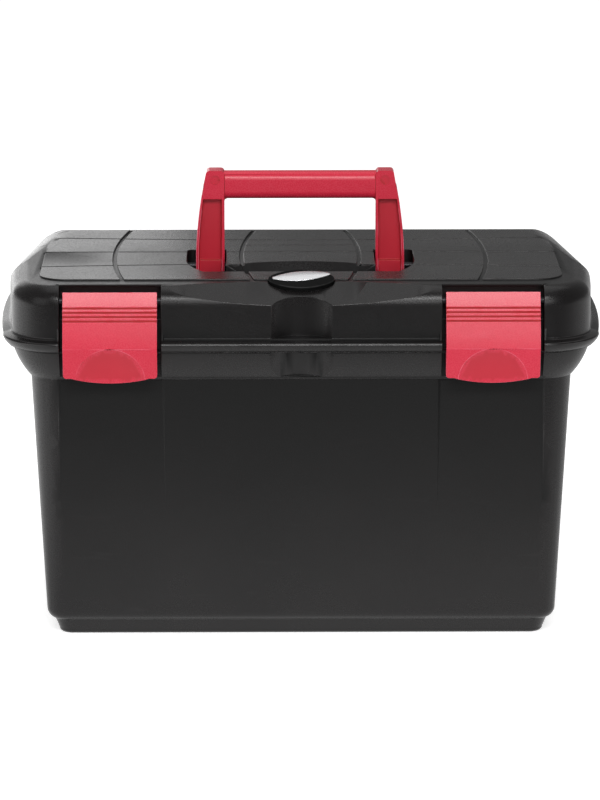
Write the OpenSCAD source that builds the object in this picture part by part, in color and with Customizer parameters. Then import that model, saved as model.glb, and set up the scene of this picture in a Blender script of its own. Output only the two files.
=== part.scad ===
// Lidded carrying box for grooming tools: a flared tub with a lift-out tray, a hinged lid,
// two flap latches and a carry handle that folds into the lid.
// Frame: X to the right, front towards -Y, Z up, origin in the middle of the underside.

/* [Box] */
// Width over the lid's rim, at the middle of its bowed ends
box_w = 406; // [396:1:450]
// Depth over the lid's rim, front to back
box_d = 250; // [246:1:280]
// Height of the line where the lid meets the tub
part_z = 201; // [170:1:250]
// Height of the lid above that line
lid_h = 44; // [43.5:0.5:48]
// Plan radius of the rim's corners
corner_r = 40; // [39:0.5:46]
// Outward bow of the lid's ends between those corners
end_bow = 4.4; // [3:0.2:6]
// Clear gap between the tub and the closed lid
part_gap = 0.4; // [0.3:0.1:0.8]
// Clear gap round a piece that sits in a recess
seat_gap = 0.3; // [0.2:0.05:0.5]
// Radial clearance round a pivot pin
pin_gap = 0.06; // [0.04:0.01:0.1]

/* [Tub] */
// Thickness of the tub's walls
tub_wall = 3.2; // [2.8:0.1:3.6]
// Thickness of the tub's floor
floor_t = 3; // [2:0.1:5]
// Inset of the wall below the collar, measured from the rim
wall_in = 18.5; // [18:0.5:19.5]
// Further inset of the wall at the floor
draft_in = 8.5; // [4:0.5:9]
// Radius along the tub's bottom edge
bottom_r = 8; // [4:0.5:9]
// Height of the flared collar
collar_h = 20.6; // [19:0.2:24]
// Inset of the collar's top edge from the rim
collar_in = 6.8; // [6:0.2:7.6]
// Step of the wall under the collar
collar_step = 0.8; // [0.4:0.1:1.2]
// Outward bulge of the flare
collar_bow = 1.2; // [0.6:0.1:1.8]
// Height of the plinth
plinth_h = 10.2; // [8:0.1:14]
// Inset of the plinth from the foot of the wall
plinth_in = 4.5; // [4:0.5:10]
// Draft of the plinth
plinth_draft = 3.4; // [1:0.2:4]
// Plan radius of the plinth's corners
plinth_r = 13; // [11:0.5:16]
// Radius along the plinth's lower edge
plinth_edge_r = 3; // [1:0.2:3.4]
// Height of the lip that stands up inside the lid
lip_h = 4; // [2:0.5:4.5]
// Thickness of that lip
lip_t = 2.5; // [2:0.1:2.8]
// Clear gap between the lip and the lid's wall
lip_gap = 0.8; // [0.5:0.1:1.2]
// Depth of the ledge for the tray, below the tub's top edge
ledge_drop = 15.6; // [14:0.2:17]
// Width of that ledge
ledge_w = 3; // [2.8:0.1:3.2]
// Depth of the shallow recess below each latch
recess_d = 2; // [0.8:0.1:2.2]
// Height over which that recess runs out
recess_h = 105; // [60:1:130]
// How far that recess is wider than the latch's pocket, on each side
recess_side = 2; // [0.5:0.1:3]

/* [Lid] */
// Thickness of the lid's walls
lid_wall = 3; // [2.5:0.1:3.4]
// Overhang of the rim past the lid's wall
rim_proud = 6; // [5:0.2:7]
// Height of the rim
rim_h = 8; // [7:0.2:9]
// Drop of the rim's top ledge, from the wall outwards
rim_slope = 1.2; // [0.8:0.1:1.6]
// Inward roll of the rim's lower edge
rim_roll = 4.2; // [3:0.1:4.6]
// Radius along the lid's shoulder
shoulder_r = 12.5; // [10:0.5:14]
// Inset of the top panel from the rim at the ends
panel_in_x = 29; // [25:0.5:33]
// Inset of the top panel from the rim at the front
panel_in_y = 31.6; // [30:0.2:34]
// Inset of the top panel from the rim at the back
panel_in_back = 45; // [42:0.5:50]
// Plan radius of the panel's corners
panel_r = 18; // [12:0.5:30]
// Height of the panel above the lid's deck
panel_rise = 1; // [0.6:0.1:1.4]
// Radius along the lid's back edge
back_r = 36; // [28:0.5:38]
// Distance behind the front rim at which the rounding of the lid's ends starts
end_from = 20; // [16:0.5:30]
// How far that rounding starts outside the lid's wall
end_out = 0.6; // [0.4:0.1:1]
// Growth of that rounding's radius per unit of depth
end_grow_share = 0.23; // [0.12:0.01:0.24]
// Width of the cross grooves in the panel
cross_w = 2.8; // [1.6:0.1:3.4]
// Depth of the cross grooves
cross_d = 1.4; // [0.8:0.1:1.8]
// Outward bow of the cross grooves
cross_bow = 9.3; // [4:0.1:10]
// How far the middle of those bows lies towards the front
cross_shift = 10; // [0:1:20]
// Width of the long grooves in the panel
line_w = 2; // [0.8:0.1:2.4]
// Depth of the long grooves
line_d = 1.1; // [0.4:0.1:1.3]
// Distance of the outer long grooves from the middle one
line_gap = 42.5; // [38:0.5:48]
// How far those two spread apart at the panel's ends
line_bow = 8.6; // [4:0.2:10]
// Drop of the front slope at the lid's wall
smile_drop = 12; // [10:0.2:13]
// Rise of that slope's lower edge at the latches
smile_bow = 6.6; // [5:0.2:10]
// Width of the thumb scoops in the lid and the collar
thumb_w = 40; // [34:0.5:46]
// Depth of the scoop in the lid
thumb_lid_d = 9; // [7:0.2:9.5]
// Depth of the scoop in the collar
thumb_tub_d = 3; // [2:0.2:3.6]

/* [Handle] */
// Clear width between the handle's legs
grip_w = 103; // [95:1:110]
// Height of the handle above its pivot
handle_h = 66.8; // [62:0.2:68]
// Depth of the pivot below the lid's top
pivot_drop = 9.5; // [9:0.1:10.5]
// Width of a leg at the top
leg_top_w = 12.5; // [11:0.5:14]
// Width of a leg at its foot
leg_foot_w = 19.5; // [16:0.5:21]
// Outward bulge of a leg's outer edge
leg_bow = 2.3; // [0.3:0.1:2.6]
// Thickness of the legs, front to back
leg_t = 14; // [13.5:0.1:14.5]
// Height of the grip's section
grip_h = 19; // [17:0.5:20]
// Thickness of the grip's section
grip_t = 13; // [11:0.5:13.4]
// Height of the legs above the grip
grip_drop = 0.9; // [0.6:0.1:2]
// Radius of the fillets between the grip and the legs
grip_fillet = 2; // [1:0.2:3]
// Depth of the channels in the legs
channel_d = 5.2; // [1:0.1:5.6]
// Width of the rims beside the channels
channel_rim = 2; // [1.4:0.1:2.6]
// Diameter of the handle's pivot pins
handle_pin_d = 4.4; // [4:0.1:5]
// Clear width of the lid's slot outside a leg
slot_side = 6; // [5:0.2:8]
// Length over which that slot narrows towards the front
slot_turn = 40; // [30:1:45]
// Radius of the slot's back corner
slot_corner = 4; // [2:0.5:5]
// Clear gap round the folded handle
slot_gap = 1.2; // [0.8:0.1:1.6]
// Further reach of the finger scoop behind the folded grip
scoop_bow = 12.5; // [8:0.5:16]

/* [Latches] */
// Distance of each latch's middle from the rim's end
latch_in = 76.9; // [74:0.1:82]
// Width of a latch
latch_w = 62; // [54:0.5:64]
// Height of a latch above its pivot
latch_top = 6.6; // [6:0.1:7]
// Height of a latch below its pivot, to the tab's square end
latch_drop = 50; // [47:0.5:51]
// Height of the crease above the tab's square end
crease_h = 20.5; // [18:0.5:22]
// Reach of the crease past the rim
latch_proud = 1.5; // [0.5:0.1:2.5]
// Lean of the face above the crease
latch_lean = 11; // [10:0.2:12]
// Bulge of the face above the crease
latch_bow = 1.3; // [0.4:0.1:1.6]
// Lean of the tab below the crease
tab_lean = 4; // [2:0.2:5]
// Thickness of the tab at its end
tab_t = 5.6; // [5:0.1:6]
// Length of the rounded tongue at the tab's end
tongue_h = 4.4; // [3:0.1:5.5]
// Width of that tongue
tongue_w = 51; // [44:0.5:52]
// Width of the dished thumb place
dish_w = 46; // [40:0.5:48]
// Depth of the dish
dish_d = 4.4; // [2:0.1:4.6]
// Number of grooves across the face
groove_n = 4; // [1:1:5]
// Spacing of those grooves
groove_pitch = 2.74; // [2.2:0.02:3]
// Distance of the first groove below the top edge
groove_from = 10.2; // [10:0.2:13]
// Radius of the grooves
groove_r = 0.65; // [0.4:0.05:0.9]
// Diameter of the latches' pivot pins
latch_pin_d = 4; // [3:0.1:4.4]
// Distance of the latches' pivots behind the rim
latch_pivot_in = 14; // [13:0.2:14.6]
// Depth of the latches' pivots below the lid's top
latch_pivot_drop = 11; // [10.6:0.1:11.6]
// Width of the gap beside a latch
pocket_side = 2.6; // [1.6:0.1:3]
// Depth of a pocket behind the rim, at the tub
pocket_d = 16; // [15.6:0.1:16.4]
// Depth of a pocket behind the rim, round the pivot
pocket_top_d = 24; // [23:0.2:25]
// Thickness of the plates beside a pocket
cheek_t = 1.6; // [1:0.1:2.4]
// Width of the catch and of the latch's snap ridge
catch_w = 30; // [24:1:34]
// Clear gap between the snap ridge and the catch
snap_gap = 0.4; // [0.3:0.05:0.6]

/* [Hinges] */
// Distance of each hinge's middle from the rim's end
hinge_in = 98; // [90:0.5:115]
// Distance of the hinge line behind the rim
hinge_out = 6.5; // [6.3:0.1:8]
// Radius of the knuckles
knuckle_r = 5.5; // [5:0.1:5.6]
// Width of the lid's knuckle
knuckle_w = 22; // [16:1:30]
// Width of each of the tub's knuckles
knuckle_side_w = 14; // [10:1:20]
// Gap between knuckles
knuckle_gap = 0.5; // [0.3:0.1:0.8]
// Diameter of the hinge pins
hinge_pin_d = 5; // [4:0.1:6]

/* [Badge] */
// Length of the badge's base
badge_w = 44; // [36:0.5:48]
// Height of the badge's base
badge_h = 23; // [20:0.5:25]
// Thickness of the base
badge_t = 3.4; // [2.8:0.1:4]
// Depth to which the base is let into the lid
badge_seat = 1.2; // [0.8:0.1:1.4]
// Length of the plate
plate_w = 39; // [30:0.5:40]
// Height of the plate
plate_h = 11.5; // [9:0.5:13]
// Thickness of the plate
plate_t = 0.8; // [0.5:0.1:1.2]
// Tilt of the badge's face
badge_tilt = 20; // [16:0.5:24]

/* [Tray] */
// Depth of the tray below its flange
tray_h = 52; // [30:1:70]
// Thickness of the tray's walls
tray_wall = 2; // [1.6:0.1:2.6]
// Clear gap between the tray and the tub's walls
tray_gap = 0.8; // [0.6:0.1:1.2]
// Draft of the tray's walls
tray_draft = 3.6; // [3:0.1:6]
// Thickness of the tray's flange
flange_t = 2.2; // [1.6:0.1:3]
// Height of the tray's grip above its flange
tray_grip_h = 18; // [16:0.5:19]
// Width of the tray's grip
tray_grip_w = 150; // [120:1:180]
// Thickness of the tray's grip
tray_grip_t = 4; // [3:0.2:6]
// Width of the hand hole in the grip
hand_w = 96; // [85:1:105]
// Height of the hand hole
hand_h = 24; // [20:0.5:26]

/* [Hidden] */
$fn = 64;
over = 1; // how far a cut runs past what it cuts
steps = 8; // steps along a drawn curve

plastic_black = "#2b2a2b";
plastic_red = "#d23a58";
tray_grey = "#4a4a4c";

// corner centres of every outline that follows the rim
cx = box_w / 2 - end_bow - corner_r;
cy = box_d / 2 - corner_r;
tub_top = part_z - part_gap;
lid_top = part_z + lid_h;
deck_z = lid_top - panel_rise;
lid_wall_r = corner_r - rim_proud;
lid_in_r = lid_wall_r - lid_wall;
lid_front = cy + lid_wall_r;
rim_top = part_z + rim_h;
big = box_w + box_d; // larger than anything that a plane cuts

// tub
wall_r = corner_r - wall_in;
foot_r = wall_r - draft_in;
collar_r = corner_r - collar_in;
collar_z = tub_top - collar_h;
floor_z = plinth_h + floor_t;
lip_out = lid_in_r - lip_gap;
lip_in = lip_out - lip_t;
ledge_z = tub_top - ledge_drop;
ledge_r = wall_r - tub_wall;
plinth_x = cx + foot_r - plinth_in - plinth_r;
plinth_y = cy + foot_r - plinth_in - plinth_r;

// handle
pivot_z = lid_top - pivot_drop;
pivot_y = 0;
slot_in = grip_w / 2 - slot_gap;
slot_out = grip_w / 2 + leg_foot_w + slot_side;
slot_front = pivot_y - handle_h - slot_gap;
slot_back = pivot_y + leg_t / 2 + slot_gap / 2;
slot_floor = pivot_z - max(leg_t, grip_t) / 2 - slot_gap;
slot_head = grip_w / 2 + leg_top_w + slot_gap;
slot_r = arc_r(slot_turn, slot_out - slot_head);
slot_wall = lid_wall + over;
trough_back = pivot_y - handle_h + grip_drop + grip_h + slot_gap;
trough_r = (slot_in * slot_in + scoop_bow * scoop_bow) / (2 * scoop_bow);
handle_pin_in = slot_in - lid_wall;
handle_pin_out = slot_out + lid_wall;

// latches
latch_x = box_w / 2 - latch_in;
latch_py = -(box_d / 2 - latch_pivot_in);
latch_pz = lid_top - latch_pivot_drop;
latch_w2 = latch_w / 2;
pocket_w2 = latch_w2 + pocket_side;
pocket_wall = lid_wall + cheek_t;
crease = [-(box_d / 2 + latch_proud), latch_pz - latch_drop + crease_h];
latch_edge = crease + [latch_lean, latch_top + latch_drop - crease_h];
tab_z = latch_pz - latch_drop;
tab_edge = [crease.x + tab_lean, tab_z];
tab_slope = tab_lean / crease_h;
tip = tab_edge + [tongue_h * tab_slope, -tongue_h];
latch_back = tab_edge.x + tab_t;
barrel_r = latch_pin_d / 2 + lid_wall - pin_gap;
latch_sweep = norm(latch_edge - [latch_py, latch_pz]);
pocket_roof = latch_pz + latch_sweep + 2 * seat_gap;
pocket_back = -(box_d / 2 - pocket_d);
pocket_top_back = -(box_d / 2 - pocket_top_d);
pocket_mouth = -(cy + lid_wall_r - shoulder_r);
catch_out = latch_back + lid_wall + snap_gap;
catch_share = 0.25;
catch_h = crease_h * catch_share;
snap_z = tab_z + catch_h / 2;
tongue_r = (tongue_w * tongue_w / 4 + tongue_h * tongue_h) / (2 * tongue_h);
dish_r = (dish_w * dish_w / 4 + dish_d * dish_d) / (2 * dish_d);

// hinges
hinge_x = box_w / 2 - hinge_in;
hinge_y = box_d / 2 + hinge_out;
hinge_z = part_z - part_gap;
hinge_w2 = knuckle_w / 2 + knuckle_gap + knuckle_side_w;

// tray
tray_z = ledge_z + seat_gap;
tray_r = ledge_r - tray_gap;
flange_r = ledge_r + ledge_w - tray_gap;
tray_floor = tray_z - tray_h;
tray_round = tray_wall * 2;
flange_top = tray_z + flange_t;
grip_top = flange_top + tray_grip_h;
rail_w = tray_wall;

// points of a circular arc in a drawn outline
function arc(c, r, from, to) =
    [for (i = [0 : steps]) c + r * [cos(from + (to - from) * i / steps), sin(from + (to - from) * i / steps)]];
// point at share t of a gently bowed line from p to q, bulging to the right of its direction
function bow_at(p, q, rise, t) =
    let (d = q - p, side = [d.y, -d.x] / norm(d))
    p * (1 - t) * (1 - t) + ((p + q) / 2 + side * 2 * rise) * 2 * t * (1 - t) + q * t * t;
function bow(p, q, rise) = [for (i = [0 : steps]) bow_at(p, q, rise, i / steps)];
// radius of a shallow arc with this half chord and this rise
function arc_r(half, rise) = (half * half + rise * rise) / (2 * rise);
// outline radius of the tub's wall at a height
function tub_r(z) = foot_r + draft_in * (z - plinth_h) / (collar_z - plinth_h);

// carries an outline, drawn as distance and height, round a rectangle of corner centres
module round_rim(x, y) {
    for (turn = [0, 180])
        rotate(turn) {
            translate([x, y, 0])
                rotate_extrude(angle = 90)
                    children();
            translate([-x, y, 0])
                rotate(90)
                    rotate_extrude(angle = 90)
                        children();
            translate([x, y, 0])
                rotate([90, 0, 0])
                    linear_extrude(2 * y)
                        children();
            translate([-x, y, 0])
                rotate([90, 0, 90])
                    linear_extrude(2 * x)
                        children();
        }
}

// the same outline, filled across the middle between two heights
module round_solid(x, y, low, high) {
    round_rim(x, y)
        children();
    translate([-x, -y, low])
        cube([2 * x, 2 * y, high - low]);
}

// carries that outline along one bowed end, which runs out into the straight one before the corners
bow_share = 0.94;

module round_end(x, y) {
    r = arc_r(y * bow_share, end_bow);
    sweep = asin(y / r);
    translate([x + end_bow - r, 0, 0])
        rotate(-sweep)
            rotate_extrude(angle = 2 * sweep, $fn = 360)
                translate([r, 0])
                    children();
}

// the filled outline with both ends bowed
module bowed_solid(x, y, low, high) {
    round_solid(x, y, low, high)
        children();
    for (turn = [0, 180])
        rotate(turn)
            round_end(x, y) {
                children();
                translate([-2 * end_bow, low])
                    square([2 * end_bow + over, high - low]);
            }
}

// carries an outline drawn as depth and height along X, between two places
module along_x(from, to) {
    translate([from, 0, 0])
        rotate([90, 0, 90])
            linear_extrude(to - from)
                children();
}

// carries an outline drawn as width and height along Y, between two places
module along_y(from, to) {
    translate([0, to, 0])
        rotate([90, 0, 0])
            linear_extrude(to - from)
                children();
}

// round bar along X
module rod(from, to, y, z, r) {
    translate([from, y, z])
        rotate([0, 90, 0])
            cylinder(h = to - from, r = r);
}

module both_sides() {
    for (side = [0, 1])
        mirror([side, 0, 0])
            children();
}

module rounded_rect(w, d, r) {
    square([w - 2 * r, d], center = true);
    square([w, d - 2 * r], center = true);
    for (x = [-1, 1], y = [-1, 1])
        translate([x * (w / 2 - r), y * (d / 2 - r)])
            circle(r);
}

// oval drawn from four arcs
module oval(w, h) {
    end_r = h * h / w / 2;
    reach = w / 2 - end_r;
    side_r = (reach * reach + h * h / 4 - end_r * end_r) / (h - 2 * end_r);
    touch = reach * side_r / (side_r - end_r);
    intersection() {
        translate([0, side_r - h / 2])
            circle(side_r);
        translate([0, h / 2 - side_r])
            circle(side_r);
        square([2 * touch, h], center = true);
    }
    for (s = [-1, 1])
        translate([s * reach, 0])
            circle(end_r);
}

// thumb scoop: a cylinder that bites into the front, upright or leaning with the face
module thumb_scoop(front, depth, high, length, lean, grow) {
    r = arc_r(thumb_w / 2, depth);
    translate([0, -front, high])
        rotate([lean, 0, 0])
            translate([0, depth - r, -length])
                cylinder(h = length + over, r = r + grow);
}

// tub

module tub_outer() {
    polygon(concat(
        [[0, plinth_h]],
        arc([foot_r - bottom_r, plinth_h + bottom_r], bottom_r, -90, 0),
        [[wall_r, collar_z]],
        bow([wall_r + collar_step, collar_z], [collar_r, tub_top - collar_step], collar_bow),
        [[collar_r, tub_top], [0, tub_top]]));
}

module tub_inner() {
    polygon(concat(
        [[0, floor_z]],
        arc([foot_r - bottom_r, floor_z + bottom_r - tub_wall], bottom_r - tub_wall, -90, 0),
        [[ledge_r, ledge_z], [ledge_r + ledge_w, ledge_z], [lip_in, tub_top], [lip_in, tub_top + over],
            [0, tub_top + over]]));
}

module plinth_shape(inset, low, high) {
    round_solid(plinth_x, plinth_y, low, high)
        polygon(concat(
            [[0, low]],
            arc([plinth_r - plinth_draft - inset - plinth_edge_r, low + plinth_edge_r], plinth_edge_r, -90, 0),
            [[plinth_r - inset, high], [0, high]]));
}

// space for the lower half of a latch
module tub_pocket(grow, low) {
    translate([latch_x - pocket_w2 - grow, -box_d / 2 - over, low])
        cube([2 * (pocket_w2 + grow), box_d / 2 + over + pocket_back + grow, tub_top + lip_h + over - low]);
}

scoop_fade = 0.85;

module tub_scoop(grow) {
    lean = atan((collar_r - wall_r - collar_step - thumb_tub_d * scoop_fade) / collar_h);
    thumb_scoop(cy + collar_r, thumb_tub_d, tub_top, (collar_h - 2 * collar_step) / cos(lean), lean, grow);
}

module front_recess() {
    low = collar_z - recess_h;
    half = pocket_w2 + recess_side;
    slope = recess_side / recess_d;
    intersection() {
        along_x(latch_x - half - recess_side, latch_x + half + recess_side)
            polygon([
                [-(cy + wall_r) - over, collar_z],
                [-(cy + wall_r) + recess_d, collar_z],
                [-(cy + tub_r(low)), low],
                [-(cy + tub_r(low)) - over, low]]);
        translate([latch_x, -(cy + tub_r(low)), low - recess_d])
            rotate([atan((wall_r - tub_r(low)) / recess_h), 0, 0])
                linear_extrude(2 * recess_h)
                    polygon([
                        [-half - slope * recess_d, -recess_d], [half + slope * recess_d, -recess_d],
                        [half - 2 * slope * recess_d, 2 * recess_d], [-half + 2 * slope * recess_d, 2 * recess_d]]);
    }
}

arm_share = 0.25;

module hinge_arm_tub() {
    along_x(0, knuckle_side_w)
        polygon([
            [cy + collar_r - tub_wall, hinge_z - part_gap],
            [hinge_y, hinge_z - part_gap],
            [hinge_y, hinge_z - knuckle_r],
            [cy + wall_r + 2 * ledge_w, collar_z + collar_h * arm_share]]);
    rod(0, knuckle_side_w, hinge_y, hinge_z, knuckle_r);
}

module tub() {
    color(plastic_black)
        difference() {
            union() {
                difference() {
                    union() {
                        round_solid(cx, cy, plinth_h, tub_top)
                            tub_outer();
                        plinth_shape(0, 0, plinth_h + over);
                    }
                    difference() {
                        union() {
                            round_solid(cx, cy, floor_z, tub_top + over)
                                tub_inner();
                            plinth_shape(tub_wall, floor_t, floor_z + over);
                        }
                        both_sides()
                            tub_pocket(tub_wall, collar_z);
                        tub_scoop(tub_wall);
                    }
                    tub_scoop(0);
                }
                round_rim(cx, cy)
                    translate([lip_in, tub_top - over])
                        square([lip_t, lip_h + over]);
                both_sides()
                    for (x = [-hinge_w2, hinge_w2 - knuckle_side_w])
                        translate([hinge_x + x, 0, 0])
                            hinge_arm_tub();
            }
            both_sides() {
                tub_pocket(0, collar_z - over);
                translate([latch_x - pocket_w2 - pocket_wall - lip_gap, -box_d / 2, tub_top])
                    cube([2 * (pocket_w2 + pocket_wall + lip_gap), pocket_d + lid_wall + lip_gap, lip_h + over]);
                front_recess();
                rod(hinge_x - hinge_w2 - over, hinge_x + hinge_w2 + over, hinge_y, hinge_z,
                    hinge_pin_d / 2 + pin_gap);
            }
        }
    color(plastic_black)
        both_sides()
            translate([latch_x - catch_w / 2, catch_out, snap_z])
                cube([catch_w, pocket_back - catch_out + tub_wall / 2, catch_h]);
}

// lid

module lid_outer() {
    roll_top = rim_top - 2 * rim_slope;
    polygon(concat(
        [[0, part_z], [corner_r - rim_roll, part_z]],
        bow([corner_r - rim_roll, part_z], [corner_r, roll_top], rim_slope / 2),
        [[corner_r - rim_slope / 2, rim_top - rim_slope], [lid_wall_r + rim_slope, rim_top],
            [lid_wall_r, rim_top + rim_slope]],
        arc([lid_wall_r - shoulder_r, deck_z - shoulder_r], shoulder_r, 0, 90),
        [[0, deck_z]]));
}

module lid_inner() {
    round_in = shoulder_r - lid_wall;
    polygon(concat(
        [[0, part_z - over], [lid_in_r, part_z - over]],
        arc([lid_in_r - round_in, deck_z - lid_wall - round_in], round_in, 0, 90),
        [[0, deck_z - lid_wall]]));
}

// what the rounding of one end takes off: it is a cone that touches the top and the end wall
// and widens from the front corner to the back
module end_round(sink) {
    swing = atan(end_grow_share);
    dip = atan(end_grow_share * cos(swing));
    intersection() {
        translate([box_w / 2 - rim_proud + end_out, -(box_d / 2 - end_from), lid_top])
            rotate([-90 - dip, 0, swing])
                translate([0, 0, sink / sin(dip)])
                    difference() {
                        translate([0, -big, 0])
                            cube([big, big, big]);
                        cylinder(h = big, r1 = 0, r2 = big * tan(dip), $fn = 180);
                    }
        translate([0, -box_d, rim_top + rim_slope])
            cube([box_w, 2 * box_d, lid_h]);
    }
}

// what the rounding of the back edge takes off
module back_round(sink) {
    low = rim_top + rim_slope;
    along_x(-box_w / 2, box_w / 2)
        difference() {
            translate([lid_front - back_r, low])
                square([back_r + over, lid_top + over - low]);
            translate([lid_front - back_r, deck_z - back_r])
                circle(back_r - sink, $fn = 180);
        }
}

// shallow trough that slopes from the panel's front edge down to the front wall
module smile(sink) {
    start = -(box_d / 2 - panel_in_y) - cross_w;
    run = lid_front + start;
    r = arc_r(latch_x - pocket_w2 - pocket_side, smile_bow);
    translate([0, start, deck_z])
        rotate([atan(smile_drop / run), 0, 0])
            translate([0, -big / 2, r])
                rotate([-90, 0, 0])
                    cylinder(h = big, r = r + sink, $fn = 180);
}

module lid_pocket_outline(grow) {
    knee = latch_pz - barrel_r - (pocket_top_d - pocket_d);
    polygon([
        [-box_d / 2 - over - grow, part_z - over],
        [pocket_back + grow, part_z - over],
        [pocket_back + grow, knee],
        [pocket_top_back + grow, knee + pocket_top_d - pocket_d],
        [pocket_top_back + grow, pocket_roof + grow],
        [pocket_mouth, pocket_roof + grow],
        [pocket_mouth, lid_top + over],
        [-box_d / 2 - over - grow, lid_top + over]]);
}

module lid_pocket(grow, side) {
    along_x(latch_x - pocket_w2 - side, latch_x + pocket_w2 + side)
        lid_pocket_outline(grow);
}

// thin plates that stand proud of the wall beside a pocket
module cheeks() {
    inset = [tab_t, 0];
    for (x = [-pocket_w2 - cheek_t, pocket_w2])
        along_x(latch_x + x, latch_x + x + cheek_t)
            polygon([
                [pocket_mouth, deck_z],
                latch_edge + inset / 2,
                [crease.x + inset.x, rim_top],
                [crease.x + inset.x, part_z + rim_slope],
                [pocket_back, part_z + rim_slope]]);
}

module slot_outline() {
    both_sides()
        polygon(concat(
            [[slot_in - over, slot_front]],
            arc([slot_out - slot_r, slot_front + slot_turn], slot_r, -asin(slot_turn / slot_r), 0),
            arc([slot_out - slot_corner, slot_back - slot_corner], slot_corner, 0, 90),
            [[slot_in, slot_back], [slot_in, trough_back], [slot_in - over, trough_back]]));
    translate([-slot_in, slot_front])
        square([2 * slot_in, trough_back - slot_front]);
}

// ramp behind the folded grip, for the fingers
module finger_ramp() {
    rise = lid_top - slot_floor;
    slope = scoop_bow / rise;
    intersection() {
        translate([0, trough_back + scoop_bow - trough_r, slot_floor])
            cylinder(h = rise + over, r1 = trough_r - scoop_bow, r2 = trough_r + over * slope, $fn = 180);
        translate([-slot_in, slot_front, slot_floor])
            cube([2 * slot_in, trough_back + scoop_bow + over - slot_front, rise + over]);
    }
}

module slot_cut() {
    translate([0, 0, slot_floor])
        linear_extrude(lid_top + over - slot_floor)
            slot_outline();
    finger_ramp();
}

module slot_housing() {
    low = slot_floor - lid_wall;
    both_sides()
        translate([slot_in - slot_wall, slot_front - lid_wall, low])
            cube([slot_out - slot_in + 2 * slot_wall, slot_back - slot_front + 2 * lid_wall, lid_top - low]);
    translate([-slot_in, slot_front - lid_wall, low])
        cube([2 * slot_in, trough_back + scoop_bow - slot_front + 2 * lid_wall, lid_top - low]);
}

// curved bands across and along the panel, drawn in plan
module cross_groove(x) {
    half = box_d / 2 - panel_in_y;
    r = arc_r(half, cross_bow);
    intersection() {
        translate([x - r, -cross_shift])
            difference() {
                circle(r + cross_w / 2, $fn = 180);
                circle(r - cross_w / 2, $fn = 180);
            }
        translate([x - 3 * cross_bow, -half - over])
            square([4 * cross_bow, box_d - panel_in_y - panel_in_back + 2 * over]);
    }
}

module long_groove() {
    half = box_w / 2 - panel_in_x;
    r = arc_r(half, line_bow);
    intersection() {
        translate([0, line_gap + r])
            difference() {
                circle(r + line_w / 2, $fn = 180);
                circle(r - line_w / 2, $fn = 180);
            }
        translate([-half - over, line_gap - line_w])
            square([2 * (half + over), line_bow + 2 * line_w]);
    }
}

cross_shares = [0.724, 0.23];
short_share = 0.55;

module panel_grooves() {
    half = box_w / 2 - panel_in_x;
    translate([0, 0, lid_top - cross_d])
        linear_extrude(cross_d + over)
            both_sides()
                for (s = cross_shares)
                    cross_groove(half * s);
    translate([0, 0, lid_top - line_d])
        linear_extrude(line_d + over) {
            for (side = [0, 1])
                mirror([0, side])
                    long_groove();
            translate([-half - over, -line_w / 2])
                square([2 * (half + over), line_w]);
            translate([-half * cross_shares[1], line_gap * short_share - line_w / 2])
                square([2 * half * cross_shares[1], line_w]);
        }
}

module hinge_arm_lid() {
    along_x(hinge_x - knuckle_w / 2, hinge_x + knuckle_w / 2)
        polygon([
            [cy + lid_in_r + lid_wall / 2, part_z],
            [hinge_y, part_z],
            [hinge_y, hinge_z + knuckle_r],
            [cy + lid_in_r + lid_wall / 2, hinge_z + knuckle_r]]);
    rod(hinge_x - knuckle_w / 2, hinge_x + knuckle_w / 2, hinge_y, hinge_z, knuckle_r);
}

// place of the badge: on the slope's middle, face tilted forwards
module at_badge() {
    translate([0, -(box_d / 2 - panel_in_y) - cross_w, deck_z])
        rotate([badge_tilt, 0, 0])
            children();
}

module lid() {
    color(plastic_black)
        difference() {
            union() {
                difference() {
                    union() {
                        bowed_solid(cx, cy, part_z, deck_z)
                            lid_outer();
                        translate([0, (panel_in_y - panel_in_back) / 2, deck_z - over])
                            linear_extrude(panel_rise + over)
                                rounded_rect(box_w - 2 * panel_in_x, box_d - panel_in_y - panel_in_back,
                                    panel_r);
                    }
                    difference() {
                        round_solid(cx, cy, part_z - over, deck_z - lid_wall)
                            lid_inner();
                        both_sides() {
                            end_round(lid_wall);
                            lid_pocket(lid_wall, pocket_wall);
                        }
                        back_round(lid_wall);
                        smile(lid_wall);
                        slot_housing();
                        thumb_scoop(lid_front, thumb_lid_d, lid_top, lid_h - rim_h + lid_wall, 0, lid_wall);
                    }
                    both_sides()
                        end_round(0);
                    back_round(0);
                    smile(0);
                    thumb_scoop(lid_front, thumb_lid_d, lid_top, lid_h - rim_h - rim_slope, 0, 0);
                }
                both_sides() {
                    cheeks();
                    hinge_arm_lid();
                }
            }
            both_sides() {
                lid_pocket(0, 0);
                rod(latch_x - pocket_w2 - lid_wall - seat_gap, latch_x + pocket_w2 + lid_wall + seat_gap,
                    latch_py, latch_pz, latch_pin_d / 2 + pin_gap);
                rod(handle_pin_in - seat_gap, handle_pin_out + seat_gap, pivot_y, pivot_z,
                    handle_pin_d / 2 + pin_gap);
                rod(hinge_x - hinge_w2, hinge_x + hinge_w2, hinge_y, hinge_z, hinge_pin_d / 2 + pin_gap);
            }
            slot_cut();
            panel_grooves();
            at_badge()
                translate([0, 0, -badge_seat])
                    linear_extrude(big)
                        oval(badge_w + 2 * seat_gap, badge_h + 2 * seat_gap);
        }
}

// carry handle

leg_edge_share = 0.2;
mark_share = 0.34;
grip_round_share = 0.46;
fillet_share = 0.3;

module leg_outline() {
    inner = grip_w / 2;
    low = pivot_z - leg_t / 2;
    high = pivot_z + handle_h;
    edge = leg_top_w * leg_edge_share;
    polygon(concat(
        [[inner, low]],
        bow([inner + leg_foot_w, low], [inner + leg_top_w, high - edge], leg_bow),
        arc([inner + leg_top_w - edge, high - edge], edge, 0, 90),
        arc([inner + edge, high - edge], edge, 90, 180)));
}

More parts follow.
